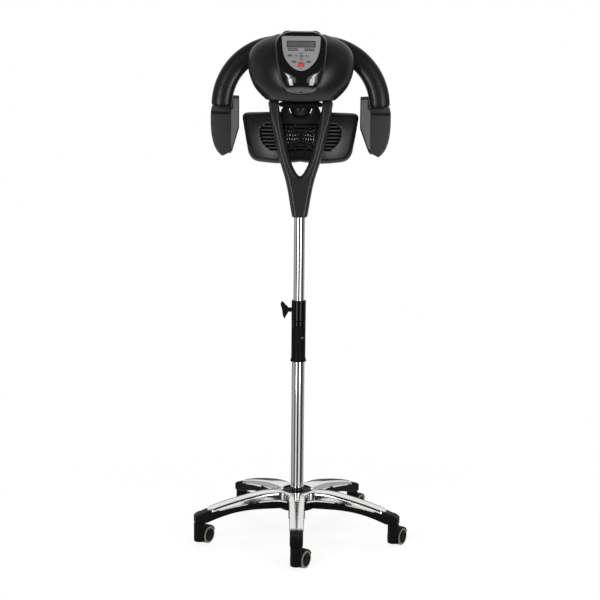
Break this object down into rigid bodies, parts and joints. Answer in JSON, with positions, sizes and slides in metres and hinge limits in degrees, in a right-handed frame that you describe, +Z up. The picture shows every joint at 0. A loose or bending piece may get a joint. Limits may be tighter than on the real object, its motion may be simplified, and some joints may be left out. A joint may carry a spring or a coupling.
{
  "type": "hair color processor",
  "caption": "Rolling salon stand with a height-adjustable column, forked head, crown, nape and swing-arm side heaters and a keypad panel.",
  "frame": {"origin": "on the floor, on the axis of the column", "axes": "+Z up the column, -Y towards the person at the control panel, +X to that person's right"},
  "size_m": [0.6246, 0.6057, 1.477],
  "materials": {
    "black_nylon": "fine moulded texture",
    "chrome": "bright plating",
    "tube_chrome": "bright plated tube with a fine lengthwise polish",
    "steel": "zinc plated",
    "wheel_tread": "olive grey soft tread",
    "matte_black": "moulded, matt",
    "gloss_black": "high gloss",
    "satin_black": "moulded, satin",
    "panel_silver": "silver-grey film on a moulded plate",
    "screen": "grey display window",
    "circuit_green": "lacquered board",
    "key_grey": "soft key film",
    "key_red": "soft key film",
    "reflector": "polished sheet",
    "quartz": "quartz tube with ceramic ends",
    "guard_grey": "moulded grille, matt"
  },
  "bodies": {
    "stand": {"base_spider": "black_nylon", "chrome_star_cover": "chrome", "hub_cap": "black_nylon", "caster_stems": "steel", "lower_tube": "tube_chrome", "clamp_sleeve": "matte_black", "clamp_collar": "gloss_black", "slide_bush": "matte_black", "sleeve_screws": "steel"},
    "caster_1": {"caster_1_housing": "black_nylon"},
    "caster_1_wheelset": {"caster_1_wheels": "wheel_tread"},
    "caster_2": {"caster_2_housing": "black_nylon"},
    "caster_2_wheelset": {"caster_2_wheels": "wheel_tread"},
    "caster_3": {"caster_3_housing": "black_nylon"},
    "caster_3_wheelset": {"caster_3_wheels": "wheel_tread"},
    "caster_4": {"caster_4_housing": "black_nylon"},
    "caster_4_wheelset": {"caster_4_wheels": "wheel_tread"},
    "caster_5": {"caster_5_housing": "black_nylon"},
    "caster_5_wheelset": {"caster_5_wheels": "wheel_tread"},
    "wing": {"wing_screw": "matte_black"},
    "mast": {"upper_tube": "tube_chrome"},
    "fork": {"yoke": "satin_black", "mains_inlet": "matte_black", "pivot_bolts": "steel"},
    "head": {"head_chassis": "matte_black", "dome_cover": "satin_black", "centre_fairing": "gloss_black", "panel_plate": "panel_silver", "lcd_window": "screen", "control_board": "circuit_green", "arm_hinge_pins": "steel", "crown_canopy": "satin_black", "crown_reflector": "reflector", "crown_lamps": "quartz", "crown_guard": "guard_grey"},
    "left_arm": {"arm_left": "satin_black"},
    "right_arm": {"arm_right": "satin_black"},
    "left_side": {"left_shell": "satin_black", "left_guard": "guard_grey", "left_heater": "quartz"},
    "right_side": {"right_shell": "satin_black", "right_guard": "guard_grey", "right_heater": "quartz"},
    "nape": {"nape_shell": "satin_black", "nape_guard": "guard_grey", "nape_reflector": "reflector", "nape_lamps": "quartz", "nape_hinge_pin": "steel", "nape_fan_frame": "matte_black", "nape_fan_guard": "chrome"},
    "fan": {"nape_fan_impeller": "matte_black"},
    "key_up": {"key_up": "key_grey"},
    "key_left": {"key_left": "key_grey"},
    "key_select": {"key_select": "key_grey"},
    "key_right": {"key_right": "key_grey"},
    "key_down": {"key_down": "key_grey"},
    "key_mode": {"key_mode": "key_grey"},
    "key_programme": {"key_programme": "key_grey"},
    "key_timer": {"key_timer": "key_grey"},
    "key_start": {"key_start": "key_red"}
  },
  "joints": [
    {"name": "caster_1_swivel", "type": "hinge", "parent": "stand", "child": "caster_1", "pos_m": [0, -0.296, 0.05], "axis": [0, 0, 1], "continuous": true},
    {"name": "caster_1_roll", "type": "hinge", "parent": "caster_1", "child": "caster_1_wheelset", "pos_m": [0.01307, -0.27587, 0.025], "axis": [-0.8387, 0.5446, 0], "continuous": true},
    {"name": "caster_2_swivel", "type": "hinge", "parent": "stand", "child": "caster_2", "pos_m": [0.28151, -0.09147, 0.05], "axis": [0, 0, 1], "continuous": true},
    {"name": "caster_2_roll", "type": "hinge", "parent": "caster_2", "child": "caster_2_wheelset", "pos_m": [0.29458, -0.07134, 0.025], "axis": [-0.8387, 0.5446, 0], "continuous": true},
    {"name": "caster_3_swivel", "type": "hinge", "parent": "stand", "child": "caster_3", "pos_m": [0.17398, 0.23947, 0.05], "axis": [0, 0, 1], "continuous": true},
    {"name": "caster_3_roll", "type": "hinge", "parent": "caster_3", "child": "caster_3_wheelset", "pos_m": [0.18706, 0.2596, 0.025], "axis": [-0.8387, 0.5446, 0], "continuous": true},
    {"name": "caster_4_swivel", "type": "hinge", "parent": "stand", "child": "caster_4", "pos_m": [-0.17398, 0.23947, 0.05], "axis": [0, 0, 1], "continuous": true},
    {"name": "caster_4_roll", "type": "hinge", "parent": "caster_4", "child": "caster_4_wheelset", "pos_m": [-0.16091, 0.2596, 0.025], "axis": [-0.8387, 0.5446, 0], "continuous": true},
    {"name": "caster_5_swivel", "type": "hinge", "parent": "stand", "child": "caster_5", "pos_m": [-0.28151, -0.09147, 0.05], "axis": [0, 0, 1], "continuous": true},
    {"name": "caster_5_roll", "type": "hinge", "parent": "caster_5", "child": "caster_5_wheelset", "pos_m": [-0.26844, -0.07134, 0.025], "axis": [-0.8387, 0.5446, 0], "continuous": true},
    {"name": "wing_turn", "type": "hinge", "parent": "stand", "child": "wing", "pos_m": [-0.03, 0, 0.679], "axis": [-1, 0, 0], "range_deg": [0, 270]},
    {"name": "height_slide", "type": "slide", "parent": "stand", "child": "mast", "axis": [0, 0, 1], "range_m": [-0.22, 0.15]},
    {"name": "fork_swivel", "type": "hinge", "parent": "mast", "child": "fork", "pos_m": [0, 0, 0.96], "axis": [0, 0, 1], "range_deg": [-170, 170]},
    {"name": "head_tilt", "type": "hinge", "parent": "fork", "child": "head", "pos_m": [0, 0, 1.268], "axis": [1, 0, 0], "range_deg": [0, 25]},
    {"name": "nape_tilt", "type": "hinge", "parent": "head", "child": "nape", "pos_m": [0, 0.045, 1.262], "axis": [1, 0, 0], "range_deg": [0, 20]},
    {"name": "fan_spin", "type": "hinge", "parent": "nape", "child": "fan", "pos_m": [0, 0.05, 1.174], "axis": [0, 1, 0], "continuous": true},
    {"name": "arm_left_swing", "type": "hinge", "parent": "head", "child": "left_arm", "pos_m": [-0.038, 0.062, 1.455], "axis": [0, 1, 0], "range_deg": [0, 25]},
    {"name": "arm_right_swing", "type": "hinge", "parent": "head", "child": "right_arm", "pos_m": [0.038, 0.062, 1.455], "axis": [0, -1, 0], "range_deg": [0, 25]},
    {"name": "side_left_swivel", "type": "hinge", "parent": "left_arm", "child": "left_side", "pos_m": [-0.2275, 0.062, 1.25], "axis": [0, 0, 1], "range_deg": [-15, 15]},
    {"name": "side_right_swivel", "type": "hinge", "parent": "right_arm", "child": "right_side", "pos_m": [0.2275, 0.062, 1.25], "axis": [0, 0, -1], "range_deg": [-15, 15]},
    {"name": "key_up_press", "type": "slide", "parent": "head", "child": "key_up", "axis": [0, 0.9135, -0.4067], "range_m": [0, 0.0008], "stiffness_N_per_m": 800},
    {"name": "key_left_press", "type": "slide", "parent": "head", "child": "key_left", "axis": [0, 0.9135, -0.4067], "range_m": [0, 0.0008], "stiffness_N_per_m": 800},
    {"name": "key_select_press", "type": "slide", "parent": "head", "child": "key_select", "axis": [0, 0.9135, -0.4067], "range_m": [0, 0.0008], "stiffness_N_per_m": 800},
    {"name": "key_right_press", "type": "slide", "parent": "head", "child": "key_right", "axis": [0, 0.9135, -0.4067], "range_m": [0, 0.0008], "stiffness_N_per_m": 800},
    {"name": "key_down_press", "type": "slide", "parent": "head", "child": "key_down", "axis": [0, 0.9135, -0.4067], "range_m": [0, 0.0008], "stiffness_N_per_m": 800},
    {"name": "key_mode_press", "type": "slide", "parent": "head", "child": "key_mode", "axis": [0, 0.9135, -0.4067], "range_m": [0, 0.0008], "stiffness_N_per_m": 800},
    {"name": "key_programme_press", "type": "slide", "parent": "head", "child": "key_programme", "axis": [0, 0.9135, -0.4067], "range_m": [0, 0.0008], "stiffness_N_per_m": 800},
    {"name": "key_timer_press", "type": "slide", "parent": "head", "child": "key_timer", "axis": [0, 0.9135, -0.4067], "range_m": [0, 0.0008], "stiffness_N_per_m": 800},
    {"name": "key_start_press", "type": "slide", "parent": "head", "child": "key_start", "axis": [0, 0.9135, -0.4067], "range_m": [0, 0.0008], "stiffness_N_per_m": 800}
  ]
}
